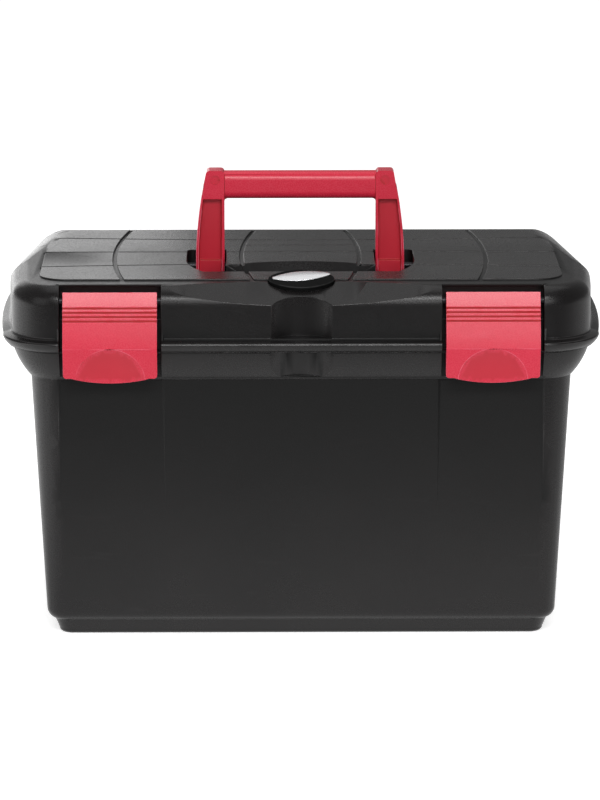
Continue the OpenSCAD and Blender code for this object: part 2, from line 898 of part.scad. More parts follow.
module leg_channel(from, to) {
    inner = grip_w / 2 + channel_rim;
    low = pivot_z - leg_t / 2;
    high = pivot_z + handle_h;
    intersection() {
        polygon(concat(
            [[inner, low]],
            bow([grip_w / 2 + leg_foot_w - channel_rim, low],
                [grip_w / 2 + leg_top_w - channel_rim, high], leg_bow),
            [[inner, high]]));
        translate([0, from])
            square([box_w, to - from]);
    }
}

foot_share = 0.65;

module leg() {
    low = pivot_z - leg_t / 2;
    foot = pivot_z + handle_pin_d;
    top = pivot_z + handle_h - grip_drop - grip_h;
    difference() {
        intersection() {
            along_y(pivot_y - leg_t / 2, pivot_y + leg_t / 2)
                leg_outline();
            union() {
                rod(0, box_w / 2, pivot_y, pivot_z, leg_t / 2);
                translate([0, pivot_y - leg_t / 2, pivot_z])
                    cube([box_w / 2, leg_t, handle_h + over]);
            }
        }
        for (cut = [[low, foot + over, channel_d * foot_share], [foot, top, channel_d]]) {
            along_y(pivot_y - leg_t / 2 - over, pivot_y - leg_t / 2 + cut[2])
                leg_channel(cut[0], cut[1]);
            along_y(pivot_y + leg_t / 2 - cut[2], pivot_y + leg_t / 2 + over)
                leg_channel(cut[0], cut[1]);
        }
        rod(0, box_w / 2, pivot_y, pivot_z, handle_pin_d / 2 + pin_gap);
        translate([grip_w / 2 + leg_top_w / 2, pivot_y - leg_t / 2, pivot_z + handle_h - grip_h * mark_share])
            rotate([90, 0, 0])
                cylinder(h = line_d, d = grip_h * mark_share, center = true, $fn = 48);
    }
}

module carry_handle() {
    color(plastic_red) {
        both_sides()
            leg();
        along_x(-(grip_w + leg_top_w) / 2, (grip_w + leg_top_w) / 2)
            translate([pivot_y, pivot_z + handle_h - grip_drop - grip_h / 2])
                rounded_rect(grip_t, grip_h, grip_t * grip_round_share);
        both_sides()
            along_y(pivot_y - grip_t * fillet_share / 2, pivot_y + grip_t * fillet_share / 2)
                translate([grip_w / 2 - grip_fillet, pivot_z + handle_h - grip_drop - grip_h - grip_fillet])
                    difference() {
                        square([grip_fillet + over, grip_fillet + grip_h / 2]);
                        circle(grip_fillet);
                    }
    }
}

module handle_pin() {
    color("silver")
        rod(handle_pin_in, handle_pin_out, pivot_y, pivot_z, handle_pin_d / 2);
}

module handle_pin_right() {
    handle_pin();
}

module handle_pin_left() {
    mirror([1, 0, 0])
        handle_pin();
}

// latches

module latch_section() {
    polygon(concat(
        bow(latch_edge, crease, latch_bow),
        [tip, [latch_back, tip.y], [latch_back, crease.y],
            [latch_py - barrel_r / 2, latch_pz - barrel_r],
            [latch_py, latch_pz + barrel_r]]));
    translate([latch_py, latch_pz])
        circle(barrel_r);
}

module latch_front() {
    top = latch_edge.y + over;
    corner = tongue_h / 2;
    translate([-latch_w2, tab_z + corner])
        square([latch_w, top - tab_z - corner]);
    translate([-latch_w2 + corner, tab_z])
        square([latch_w - 2 * corner, top - tab_z]);
    for (s = [-1, 1])
        translate([s * (latch_w2 - corner), tab_z + corner])
            circle(corner);
    intersection() {
        translate([0, tab_z - tongue_h + tongue_r])
            circle(tongue_r, $fn = 180);
        translate([-tongue_w / 2, tab_z - tongue_h])
            square([tongue_w, tongue_h + over]);
    }
}

module latch() {
    lean = atan(tab_slope);
    color(plastic_red)
        translate([latch_x, 0, 0])
            difference() {
                union() {
                    intersection() {
                        along_x(-latch_w2, latch_w2)
                            latch_section();
                        along_y(crease.x - over, latch_py + barrel_r + over)
                            latch_front();
                    }
                    translate([-catch_w / 2, latch_back - over, snap_z - catch_h - snap_gap])
                        cube([catch_w, lid_wall + over, catch_h]);
                }
                for (i = [0 : groove_n - 1])
                    let (p = bow_at(latch_edge, crease, latch_bow,
                            (groove_from + groove_pitch * i) / (latch_edge.y - crease.y)))
                        rod(-latch_w2 - over, latch_w2 + over, p.x, p.y, groove_r);
                translate([0, crease.x, crease.y])
                    rotate([lean, 0, 0])
                        translate([0, dish_d - dish_r, -dish_w / 2])
                            sphere(dish_r, $fn = 120);
                rod(-latch_w2 - over, latch_w2 + over, latch_py, latch_pz, latch_pin_d / 2 + pin_gap);
            }
}

module latch_right() {
    latch();
}

module latch_left() {
    mirror([1, 0, 0])
        latch();
}

module latch_pin() {
    color("silver")
        rod(latch_x - pocket_w2 - lid_wall, latch_x + pocket_w2 + lid_wall, latch_py, latch_pz, latch_pin_d / 2);
}

module latch_pin_right() {
    latch_pin();
}

module latch_pin_left() {
    mirror([1, 0, 0])
        latch_pin();
}

// hinge pins

module hinge_pin() {
    color("silver")
        rod(hinge_x - hinge_w2, hinge_x + hinge_w2, hinge_y, hinge_z, hinge_pin_d / 2);
}

module hinge_pin_right() {
    hinge_pin();
}

module hinge_pin_left() {
    mirror([1, 0, 0])
        hinge_pin();
}

// badge

plate_turn = 8;
plate_shift_share = 0.11;

module badge_base() {
    color("#1c1c1e")
        at_badge()
            translate([0, 0, -badge_seat])
                linear_extrude(badge_t)
                    oval(badge_w, badge_h);
}

module badge_plate() {
    color("gainsboro")
        at_badge()
            translate([0, badge_h * plate_shift_share, badge_t - badge_seat])
                rotate(plate_turn)
                    linear_extrude(plate_t)
                        oval(plate_w, plate_h);
}

// tray

module tray_outer(inset, low, high) {
    foot = tray_r - tray_draft - inset;
    round_solid(cx, cy, low, high)
        polygon(concat(
            [[0, low]],
            arc([foot - tray_round, low + tray_round], tray_round, -90, 0),
            [[tray_r - inset, high], [0, high]]));
}

divider_share = 0.7;

module tray_wall_x(x) {
    translate([x - tray_wall / 2, -cy - tray_r + tray_draft, tray_floor + tray_wall / 2])
        cube([tray_wall, 2 * (cy + tray_r - tray_draft), tray_h * divider_share]);
}

// upright rails that hold the grip's plate at one of those walls
module grip_rails() {
    for (s = [0, 1])
        mirror([0, s, 0])
            translate([tray_grip_w / 2 - tray_wall / 2 - rail_w, tray_grip_t / 2 + seat_gap, tray_floor])
                cube([rail_w + tray_wall / 2, rail_w, tray_h * divider_share]);
}

module tray() {
    color(tray_grey) {
        difference() {
            union() {
                tray_outer(0, tray_floor, tray_z + over);
                round_solid(cx, cy, tray_z, flange_top)
                    translate([0, tray_z])
                        square([flange_r, flange_t]);
            }
            tray_outer(tray_wall, tray_floor + tray_wall, flange_top + over);
            tub_scoop(tub_wall + tray_gap);
        }
        intersection() {
            tray_outer(tray_wall / 2, tray_floor + tray_wall / 2, flange_top);
            both_sides() {
                translate([tray_grip_w / 2, -tray_grip_t / 2, tray_floor])
                    cube([(box_w - tray_grip_w) / 2, tray_grip_t, tray_h * divider_share]);
                tray_wall_x(tray_grip_w / 2);
                grip_rails();
            }
        }
    }
}

// plate with a hand hole, which stands between the rails and divides the middle of the tray
module tray_grip() {
    half = (tray_grip_w - tray_wall) / 2 - seat_gap;
    low = tray_floor + tray_wall + seat_gap;
    hand_r = hand_h / 2;
    color(tray_grey)
        difference() {
            along_y(-tray_grip_t / 2, tray_grip_t / 2)
                polygon([
                    [-half, low],
                    [half, low],
                    [half, tray_z],
                    [hand_w / 2 + hand_r, grip_top],
                    [-hand_w / 2 - hand_r, grip_top],
                    [-half, tray_z]]);
            along_y(-tray_grip_t, tray_grip_t)
                translate([0, grip_top - tray_grip_t * 2 - hand_r]) {
                    square([hand_w - hand_h, hand_h], center = true);
                    for (s = [-1, 1])
                        translate([s * (hand_w / 2 - hand_r), 0])
                            circle(hand_r);
                }
        }
}

tub();
lid();
carry_handle();
handle_pin_left();
handle_pin_right();
latch_left();
latch_right();
latch_pin_left();
latch_pin_right();
hinge_pin_left();
hinge_pin_right();
badge_base();
badge_plate();
tray();
tray_grip();
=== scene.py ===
"""Looks of a lidded grooming box: moulded shells, flap latches, fold-down handle, badge and tray."""

import logging
import math
from dataclasses import dataclass, field
from enum import Enum
from typing import Dict, List, Optional, Sequence, Set, Tuple, Union

import bmesh
import bpy
from mathutils import Matrix, Vector


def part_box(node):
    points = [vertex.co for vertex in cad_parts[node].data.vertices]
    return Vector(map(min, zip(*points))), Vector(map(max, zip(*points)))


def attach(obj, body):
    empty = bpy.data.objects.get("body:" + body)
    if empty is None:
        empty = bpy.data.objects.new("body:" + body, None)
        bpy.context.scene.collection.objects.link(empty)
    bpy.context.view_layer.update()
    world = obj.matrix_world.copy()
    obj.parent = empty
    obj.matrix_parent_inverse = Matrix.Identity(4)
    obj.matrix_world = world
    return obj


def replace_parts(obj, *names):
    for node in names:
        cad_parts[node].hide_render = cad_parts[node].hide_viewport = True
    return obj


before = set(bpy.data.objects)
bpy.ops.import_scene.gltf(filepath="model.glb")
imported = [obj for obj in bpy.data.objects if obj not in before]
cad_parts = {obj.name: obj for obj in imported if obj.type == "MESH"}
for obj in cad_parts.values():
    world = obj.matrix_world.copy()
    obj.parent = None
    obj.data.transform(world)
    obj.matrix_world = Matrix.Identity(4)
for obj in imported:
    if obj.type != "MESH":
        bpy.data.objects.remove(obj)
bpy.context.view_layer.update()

MM = 0.001
Color = Tuple[float, float, float]
Span = Tuple[float, float]
Socket = bpy.types.NodeSocket
Input = Union[Socket, float]
log = logging.getLogger("grooming_box")


class Body(Enum):
    """Rigid bodies of the box, by the names that the frame gives them."""

    BASE = "base"
    LID = "lid"
    HANDLE = "handle"
    LATCH_LEFT = "latch_left"
    LATCH_RIGHT = "latch_right"
    TRAY = "tray"


class Slot(Enum):
    """Material slots of the record."""

    BLACK = "black_plastic"
    RED = "red_plastic"
    GREY = "grey_plastic"
    STEEL = "steel"
    BADGE_BLACK = "badge_black"
    BADGE_SILVER = "badge_silver"


class Nodes:
    """Small helper that adds and joins the nodes of one tree."""

    def __init__(self, tree: bpy.types.NodeTree) -> None:
        """Keeps the tree to fill."""
        self.tree = tree

    def add(self, kind: str, **settings: object) -> bpy.types.Node:
        """Adds a node and sets its own properties.

        Args:
            kind: Blender's node type name.
            settings: Properties of the node, by name.

        Returns:
            The new node.
        """
        node = self.tree.nodes.new(kind)
        for key, value in settings.items():
            setattr(node, key, value)
        return node

    def join(self, source: Socket, target: Socket) -> None:
        """Links an output to an input."""
        self.tree.links.new(source, target)

    def feed(self, value: Union[Input, Sequence[float]], target: Socket) -> None:
        """Links an output to an input, or sets a plain value on it.

        Args:
            value: The output, or the value.
            target: The input.
        """
        if isinstance(value, Socket):
            self.join(value, target)
        else:
            target.default_value = value

    def math(self, operation: str, *values: Input) -> Socket:
        """Adds a Math node.

        Args:
            operation: Blender's name of the operation.
            values: Outputs or numbers for its inputs.

        Returns:
            The result's socket.
        """
        node = self.add("ShaderNodeMath", operation=operation)
        for value, target in zip(values, node.inputs):
            self.feed(value, target)
        return node.outputs[0]

    def spread(self, value: Socket, reach: Span, to: Span = (0.0, 1.0)) -> Socket:
        """Maps a range to another, clamped.

        Args:
            value: Output with the value.
            reach: Start and end of the range that is read.
            to: Results at its start and its end.

        Returns:
            The result's socket.
        """
        node = self.add("ShaderNodeMapRange")
        self.join(value, node.inputs["Value"])
        node.inputs["From Min"].default_value, node.inputs["From Max"].default_value = reach
        node.inputs["To Min"].default_value, node.inputs["To Max"].default_value = to
        return node.outputs["Result"]

    def mix(self, share: Socket, first: Union[Socket, Color], second: Union[Socket, Color]) -> Socket:
        """Mixes two colours, each an output or a constant.

        Args:
            share: Share of the second colour.
            first: The first colour.
            second: The second colour.

        Returns:
            The mixed colour's socket.
        """
        node = self.add("ShaderNodeMix", data_type="RGBA")
        colors = [socket for socket in node.inputs if socket.type == "RGBA"]
        self.join(share, node.inputs[0])
        for value, target in zip((first, second), colors):
            self.feed((*value, 1.0) if isinstance(value, tuple) else value, target)
        return next(socket for socket in node.outputs if socket.type == "RGBA")

    def where(self) -> Socket:
        """Object coordinates."""
        return self.add("ShaderNodeTexCoord").outputs["Object"]

    def mapped(self, **settings: Sequence[float]) -> Socket:
        """Object coordinates that are moved, turned or scaled.

        Args:
            settings: Values of the Mapping node's inputs, by name.

        Returns:
            The changed coordinates' socket.
        """
        node = self.add("ShaderNodeMapping")
        self.join(self.where(), node.inputs["Vector"])
        for label, value in settings.items():
            node.inputs[label].default_value = value
        return node.outputs["Vector"]

    def noise(self, where: Socket, scale: Input, detail: float, roughness: float = 0.5,
              seed: Optional[Socket] = None) -> Socket:
        """Adds a noise texture.

        Args:
            where: Coordinates that it reads.
            scale: Its scale.
            detail: Its number of finer layers.
            roughness: Strength of those layers.
            seed: Output with a seed, if it has one.

        Returns:
            The noise's socket, from 0 to 1.
        """
        node = self.add("ShaderNodeTexNoise", noise_dimensions="3D" if seed is None else "4D")
        self.join(where, node.inputs["Vector"])
        self.feed(scale, node.inputs["Scale"])
        node.inputs["Detail"].default_value = detail
        node.inputs["Roughness"].default_value = roughness
        if seed is not None:
            self.join(seed, node.inputs["W"])
        return node.outputs["Fac"]

    def relief(self, height: Socket, depth: float) -> Socket:
        """Adds a Bump node.

        Args:
            height: Output with the relief's height, from 0 to 1.
            depth: Depth of the relief, in metres.

        Returns:
            The normal's socket.
        """
        node = self.add("ShaderNodeBump")
        node.inputs["Distance"].default_value = depth
        self.join(height, node.inputs["Height"])
        return node.outputs["Normal"]

    def point(self, x: Input = 0.0, y: Input = 0.0, z: Input = 0.0) -> Socket:
        """Joins three values to a point."""
        node = self.add("ShaderNodeCombineXYZ")
        for value, target in zip((x, y, z), node.inputs):
            self.feed(value, target)
        return node.outputs[0]

    def axes(self, vector: Socket) -> bpy.types.NodeOutputs:
        """Splits a vector into the outputs X, Y and Z."""
        node = self.add("ShaderNodeSeparateXYZ")
        self.join(vector, node.inputs[0])
        return node.outputs


class SurfaceEffects:
    """Shader node groups that the finishes share: pebble grain, slow drift, scuffed edges with a painted
    highlight, painted shade in hollows.
    """

    EDGE = "edge"
    PAINTED_SHADE = "painted_shade"
    FALLING = (1.0, 0.0)
    PEBBLE_SOFTNESS = 0.6
    PEBBLE_REACH = (0.05, 0.75)
    PIT_REACH = (0.1, 0.5)
    FINE_DETAIL = 2.0
    FINE_SHARE = 0.35
    DRIFT_SHIFTS = {"Tone": 0.0, "Gloss": 3.7}
    DRIFT_DETAIL = 5.0
    DRIFT_ROUGHNESS = 0.6
    DRIFT_REACH = (0.3, 0.7)
    PATCH_SCALE = 90.0
    PATCH_DETAIL = 6.0
    PATCH_REACH = (0.36, 0.62)
    SCRATCH_TURN = (0.2, 0.5, 0.4)
    SCRATCH_SCALE = (18.0, 420.0, 160.0)
    SCRATCH_DETAIL = 3.0
    SCRATCH_REACH = (0.66, 0.74)

    def __init__(self) -> None:
        """Builds the three groups."""
        self.grain = self._grain()
        self.drift = self._drift()
        self.wear_and_painted_light = self._wear_and_painted_light()

    @staticmethod
    def _group(name: str, inputs: Dict[str, float],
               outputs: Sequence[str]) -> Tuple[Nodes, Dict[str, Socket], bpy.types.NodeInputs]:
        """Makes an empty group with named sockets.

        Args:
            name: The group's name.
            inputs: Names and default values of its inputs.
            outputs: Names of its outputs.

        Returns:
            The helper on its tree, the given values by name, and the sockets that take its results.
        """
        tree = bpy.data.node_groups.new(name, "ShaderNodeTree")
        for label, value in inputs.items():
            socket = tree.interface.new_socket(name=label, in_out="INPUT", socket_type="NodeSocketFloat")
            socket.default_value = value
        for label in outputs:
            tree.interface.new_socket(name=label, in_out="OUTPUT", socket_type="NodeSocketFloat")
        nodes = Nodes(tree)
        source = nodes.add("NodeGroupInput")
        given = {label: source.outputs[label] for label in inputs}
        return nodes, given, nodes.add("NodeGroupOutput").inputs

    def _grain(self) -> bpy.types.NodeTree:
        """Fine pebbles of moulded plastic, with finer noise between them."""
        nodes, given, out = self._group(
            "PebbleGrain", {"Pebbles": 1000.0, "Fine": 2600.0}, ["Height", "Pits"])
        where = nodes.where()
        cells = nodes.add("ShaderNodeTexVoronoi", feature="SMOOTH_F1")
        cells.inputs["Smoothness"].default_value = self.PEBBLE_SOFTNESS
        nodes.join(where, cells.inputs["Vector"])
        nodes.join(given["Pebbles"], cells.inputs["Scale"])
        fine = nodes.noise(where, given["Fine"], self.FINE_DETAIL)
        pebble = nodes.spread(cells.outputs["Distance"], self.PEBBLE_REACH, self.FALLING)
        nodes.join(nodes.math("MULTIPLY_ADD", fine, self.FINE_SHARE, pebble), out["Height"])
        nodes.join(nodes.spread(pebble, self.PIT_REACH, self.FALLING), out["Pits"])
        return nodes.tree

    def _drift(self) -> bpy.types.NodeTree:
        """Slow, uneven change of tone and gloss over a large face."""
        nodes, given, out = self._group("ToneDrift", {"Size": 9.0}, list(self.DRIFT_SHIFTS))
        for label, shift in self.DRIFT_SHIFTS.items():
            where = nodes.mapped(Location=(shift, shift, shift))
            noise = nodes.noise(where, given["Size"], self.DRIFT_DETAIL, self.DRIFT_ROUGHNESS)
            nodes.join(nodes.spread(noise, self.DRIFT_REACH), out[label])
        return nodes.tree

    def _wear_and_painted_light(self) -> bpy.types.NodeTree:
        """Wear and a painted highlight along the edges that stand out, short scratches, and painted shade
        in hollows.
        """
        nodes, given, out = self._group(
            "EdgeWearHighlightAndShade", {"Amount": 0.5, "Scratches": 0.3}, ["Wear", "Scratch", "PaintedShade"])
        # The edge mask carries wear and a painted highlight; the hollow mask carries painted shade.
        edge, painted_shade = (
            nodes.add("ShaderNodeAttribute", attribute_name=name).outputs["Fac"]
            for name in (self.EDGE, self.PAINTED_SHADE))
        nodes.join(painted_shade, out["PaintedShade"])
        patch = nodes.noise(nodes.where(), self.PATCH_SCALE, self.PATCH_DETAIL)
        broken = nodes.spread(patch, self.PATCH_REACH)
        wear_and_highlight = nodes.math("MULTIPLY", broken, given["Amount"])
        nodes.join(nodes.math("MULTIPLY", edge, wear_and_highlight), out["Wear"])
        stretched = nodes.mapped(Rotation=self.SCRATCH_TURN, Scale=self.SCRATCH_SCALE)
        lines = nodes.noise(stretched, 1.0, self.SCRATCH_DETAIL)
        thin = nodes.spread(lines, self.SCRATCH_REACH)
        nodes.join(nodes.math("MULTIPLY", thin, given["Scratches"]), out["Scratch"])
        return nodes.tree


@dataclass(frozen=True)
class PlasticFinish:
    """A moulded plastic with pebble grain, drifting tone, worn edges with a painted highlight, and painted
    shade in hollows.

    Attributes:
        name: Name of the material.
        tone: Its colour.
        drift_tone: Colour that it drifts to.
        edge_wear_and_highlight_tone: Colour of worn edges and scratches, and of the painted highlight along
            edge crests.
        painted_shade_tone: Painted shade colour in grooves, dishes, inner edges and sunken floors.
        rough: Least and greatest roughness.
        pebbles: Scale of the pebbles.
        grain_height: Depth of the grain, in metres.
        edge_wear_and_highlight_amount: Strength of the worn edges and of their painted highlight.
        scratches: Strength of the scratches.
        ior: Index of refraction.
    """

    name: str
    tone: Color
    drift_tone: Color
    edge_wear_and_highlight_tone: Color
    painted_shade_tone: Color
    rough: Span
    pebbles: float
    grain_height: float
    edge_wear_and_highlight_amount: float
    scratches: float
    ior: float = 1.46

    FINE_PER_PEBBLE = 2.7
    PIT_ROUGHNESS = 0.08
    HOLLOW_ROUGHNESS = 0.25

    def build(self, effects: SurfaceEffects) -> bpy.types.Material:
        """Builds the material.

        Args:
            effects: The shared node groups.

        Returns:
            The material.
        """
        material = bpy.data.materials.new(self.name)
        material.use_nodes = True
        nodes = Nodes(material.node_tree)
        shader = material.node_tree.nodes["Principled BSDF"].inputs
        shader["IOR"].default_value = self.ior
        grain, drift, wear_and_painted_light = (
            nodes.add("ShaderNodeGroup", node_tree=tree)
            for tree in (effects.grain, effects.drift, effects.wear_and_painted_light))
        grain.inputs["Pebbles"].default_value = self.pebbles
        grain.inputs["Fine"].default_value = self.pebbles * self.FINE_PER_PEBBLE
        wear_and_painted_light.inputs["Amount"].default_value = self.edge_wear_and_highlight_amount
        wear_and_painted_light.inputs["Scratches"].default_value = self.scratches
        # Painted shade darkens the hollows; worn edges and scratches lighten, and the edge crests also get
        # a painted highlight.
        painted_shade = wear_and_painted_light.outputs["PaintedShade"]
        wear_and_highlight = nodes.math("MAXIMUM", wear_and_painted_light.outputs["Wear"], wear_and_painted_light.outputs["Scratch"])
        tone = nodes.mix(drift.outputs["Tone"], self.tone, self.drift_tone)
        edged = nodes.mix(wear_and_highlight, tone, self.edge_wear_and_highlight_tone)
        nodes.join(nodes.mix(painted_shade, edged, self.painted_shade_tone), shader["Base Color"])
        rough = nodes.spread(drift.outputs["Gloss"], (0.0, 1.0), self.rough)
        pitted = nodes.math("MULTIPLY_ADD", grain.outputs["Pits"], self.PIT_ROUGHNESS, rough)
        nodes.join(nodes.math("MULTIPLY_ADD", painted_shade, self.HOLLOW_ROUGHNESS, pitted), shader["Roughness"])
        nodes.join(nodes.relief(grain.outputs["Height"], self.grain_height), shader["Normal"])
        return material


@dataclass(frozen=True)
class MetalFinish:
    """A bright or dark metal with fine drawn lines.

    Attributes:
        name: Name of the material.
        tone: Its colour.
        drift_tone: Colour that it drifts to.
        rough: Least and greatest roughness.
        line_scale: Scale of the lines along X, Y and Z.
        line_height: Depth of the lines, in metres.
    """

    name: str
    tone: Color
    drift_tone: Color
    rough: Span
    line_scale: Tuple[float, float, float]
    line_height: float

    DRIFT_SIZE = 60.0
    LINE_DETAIL = 3.0
    LINE_REACH = (0.3, 0.7)

    def build(self, effects: SurfaceEffects) -> bpy.types.Material:
        """Builds the material.

        Args:
            effects: The shared node groups.

        Returns:
            The material.
        """
        material = bpy.data.materials.new(self.name)
        material.use_nodes = True
        nodes = Nodes(material.node_tree)
        shader = material.node_tree.nodes["Principled BSDF"].inputs
        shader["Metallic"].default_value = 1.0
        drift = nodes.add("ShaderNodeGroup", node_tree=effects.drift)
        drift.inputs["Size"].default_value = self.DRIFT_SIZE
        nodes.join(nodes.mix(drift.outputs["Tone"], self.tone, self.drift_tone), shader["Base Color"])
        lines = nodes.noise(nodes.mapped(Scale=self.line_scale), 1.0, self.LINE_DETAIL)
        nodes.join(nodes.spread(lines, self.LINE_REACH, self.rough), shader["Roughness"])
        nodes.join(nodes.relief(lines, self.line_height), shader["Normal"])
        return material


# Each plastic's edge colour is edge wear plus a painted highlight on edge crests; its shade colour is
# painted shade in grooves, dishes and sunken floors.
BODY_BLACK = PlasticFinish(
    name="charcoal_body",
    tone=(0.0075, 0.0068, 0.0071),
    drift_tone=(0.0120, 0.0108, 0.0109),
    edge_wear_and_highlight_tone=(0.085, 0.082, 0.082),
    painted_shade_tone=(0.002, 0.002, 0.002),
    rough=(0.22, 0.31),
    pebbles=1050.0,
    grain_height=0.024 * MM,
    edge_wear_and_highlight_amount=0.75,
    scratches=0.05,
    ior=1.42)
TRAY_GREY = PlasticFinish(
    name="slate_tray",
    tone=(0.060, 0.060, 0.063),
    drift_tone=(0.075, 0.075, 0.077),
    edge_wear_and_highlight_tone=(0.17, 0.17, 0.17),
    painted_shade_tone=(0.025, 0.025, 0.026),
    rough=(0.44, 0.54),
    pebbles=1050.0,
    grain_height=0.05 * MM,
    edge_wear_and_highlight_amount=0.6,
    scratches=0.06)
GRIP_RED = PlasticFinish(
    name="raspberry_red",
    tone=(0.64, 0.027, 0.060),
    drift_tone=(0.58, 0.021, 0.047),
    edge_wear_and_highlight_tone=(0.88, 0.20, 0.28),
    painted_shade_tone=(0.40, 0.004, 0.005),
    rough=(0.20, 0.27),
    pebbles=1500.0,
    grain_height=0.009 * MM,
    edge_wear_and_highlight_amount=1.8,
    scratches=0.05)
PAD_BLACK = PlasticFinish(
    name="badge_pad_black",
    tone=(0.004, 0.004, 0.004),
    drift_tone=(0.006, 0.006, 0.006),
    edge_wear_and_highlight_tone=(0.06, 0.06, 0.06),
    painted_shade_tone=(0.004, 0.004, 0.004),
    rough=(0.12, 0.20),
    pebbles=1800.0,
    grain_height=0.006 * MM,
    edge_wear_and_highlight_amount=0.4,
    scratches=0.1,
    ior=1.08)
PLATE_SILVER = MetalFinish(
    name="plate_silver",
    tone=(0.88, 0.88, 0.89),
    drift_tone=(0.81, 0.81, 0.83),
    rough=(0.24, 0.34),
    line_scale=(60.0, 900.0, 900.0),
    line_height=0.004 * MM)
# Steel pins toned nearly black as painted shade for the dark gaps they sit in.
PIN_STEEL = MetalFinish(
    name="steel_toned_as_gap_shade",
    tone=(0.055, 0.055, 0.058),
    drift_tone=(0.040, 0.040, 0.043),
    rough=(0.34, 0.48),
    line_scale=(900.0, 60.0, 60.0),
    line_height=0.01 * MM)


def smooth(mesh: bpy.types.Mesh) -> bpy.types.Mesh:
    """Shades every face of a mesh smooth and gives the mesh back."""
    mesh.polygons.foreach_set("use_smooth", [True] * len(mesh.polygons))
    return mesh


def place(mesh: bpy.types.Mesh, name: str, material: bpy.types.Material,
          body: Body) -> bpy.types.Object:
    """Makes an object of a mesh and sets it on its body.

    Args:
        mesh: The finished mesh, in the box's frame.
        name: The piece's name.
        material: Its finish.
        body: The body that it rides on.

    Returns:
        The new object.
    """
    piece = bpy.data.objects.new(name, mesh)
    bpy.context.scene.collection.objects.link(piece)
    mesh.materials.clear()
    mesh.materials.append(material)
    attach(piece, body.value)
    log.info("%s: %d faces on %s", name, len(mesh.polygons), body.value)
    return piece


@dataclass
class Shell:
    """A moulded piece that keeps its solid's shape and gets softened edges.

    Attributes:
        name: Name of the piece.
        node: Solid that it stands for.
        body: Body that it rides on.
        slot: Record slot of its finish; not used.
        width: Width of the softened edges, in metres.
        segments: Number of faces across a softened edge.
        sharp: Least angle between two faces that gets a softened edge, in degrees.
        crease: Least angle that still shows as a line, in degrees.
        least: Edges that touch one shorter than this stay crisp, in metres.
    """

    name: str
    node: str
    body: Body
    slot: Slot
    width: float
    segments: int = 2
    sharp: float = 28.0
    crease: float = 14.0
    least: float = 0.0

    # Points nearer than this are one, and faces that turn less than this are one.
    MERGE = 2e-6
    FLAT = math.radians(0.3)
    # A groove turns inwards by this much, between faces narrower than the strip.
    GROOVE_TURN = math.radians(8.0)
    GROOVE_STRIP = 0.25 * MM
    # A dish turns inwards all round by this much, and gets this much painted shade.
    DISH_TURN = math.radians(0.8)
    DISH_PAINTED_SHADE = 0.4
    # A sunken floor has this share of its outline on inner edges, and gets this much painted shade.
    SUNKEN_SHARE = 0.55
    SUNKEN_PAINTED_SHADE = 0.35
    NORMAL_WEIGHT = 50

    def mesh(self) -> bpy.types.Mesh:
        """Copies the solid's mesh, joins its triangles and softens its edges.

        Returns:
            The new mesh, with attributes that mark its outer edges for wear and a painted highlight, and
            its hollows for painted shade.
        """
        solid = bmesh.new()
        solid.from_mesh(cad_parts[self.node].data)
        bmesh.ops.remove_doubles(solid, verts=solid.verts, dist=self.MERGE)
        bmesh.ops.dissolve_limit(solid, angle_limit=self.FLAT, verts=solid.verts, edges=solid.edges)
        solid.normal_update()
        edges = []
        for edge in solid.edges:
            angle = math.degrees(edge.calc_face_angle(0.0))
            edge.smooth = angle < self.crease
            around = min(e.calc_length() for v in edge.verts for e in v.link_edges)
            if angle > self.sharp and around > self.least:
                edge.smooth = True
                edges.append(edge)
        made = bmesh.ops.bevel(
            solid, geom=edges, offset=self.width, offset_type="OFFSET", segments=self.segments,
            profile=0.5, affect="EDGES", clamp_overlap=False, loop_slide=True)
        solid.normal_update()
        self._mark(solid, set(made["faces"]))
        mesh = bpy.data.meshes.new(self.name)
        solid.to_mesh(mesh)
        solid.free()
        return smooth(mesh)

    @classmethod
    def _mark(cls, solid: bmesh.types.BMesh, rounded: Set[bmesh.types.BMFace]) -> None:
        """Marks the crests of outward edges for wear and a painted highlight, and the inner edges, grooves,
        dishes and sunken floors for painted shade.

        Args:
            solid: The softened shape.
            rounded: Its faces that lie on softened edges.
        """
        edge_layer = solid.verts.layers.float.new(SurfaceEffects.EDGE)
        painted_shade_layer = solid.verts.layers.float.new(SurfaceEffects.PAINTED_SHADE)
        # Crests of outward bevels get wear and a painted highlight; inward bevels get painted shade.
        for vert in solid.verts:
            if not vert.link_faces or any(f not in rounded for f in vert.link_faces):
                continue
            around = sum((e.other_vert(vert).co for e in vert.link_edges), Vector()) / len(vert.link_edges)
            outward = (vert.co - around).dot(vert.normal) > 0.0
            vert[edge_layer if outward else painted_shade_layer] = 1.0
        for edge in solid.edges:
            if edge.calc_face_angle_signed(0.0) < -cls.GROOVE_TURN and all(
                    2 * f.calc_area() < cls.GROOVE_STRIP * f.calc_perimeter() for f in edge.link_faces):
                for vert in edge.verts:
                    vert[painted_shade_layer] = 1.0
        for vert in solid.verts:
            if all(e.calc_face_angle_signed(0.0) < -cls.DISH_TURN for e in vert.link_edges):
                vert[painted_shade_layer] = max(vert[painted_shade_layer], cls.DISH_PAINTED_SHADE)
        inner_strips = {f for f in rounded if any(v[painted_shade_layer] == 1.0 for v in f.verts)}
        for face in solid.faces:
            if face in rounded:
                continue
            inner = sum(e.calc_length() for e in face.edges if any(f in inner_strips for f in e.link_faces))
            if inner > cls.SUNKEN_SHARE * face.calc_perimeter():
                for vert in face.verts:
                    vert[painted_shade_layer] = max(vert[painted_shade_layer], cls.SUNKEN_PAINTED_SHADE)

    def build(self, material: bpy.types.Material) -> bpy.types.Object:
        """Builds the piece, dresses it and sets it on its body.

        Args:
            material: The piece's finish.

        Returns:
            The finished object.
        """
        piece = place(self.mesh(), self.name, material, self.body)
        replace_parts(piece, self.node)
        even = piece.modifiers.new("even_faces", "WEIGHTED_NORMAL")
        even.weight = self.NORMAL_WEIGHT
        even.keep_sharp = True
        return piece


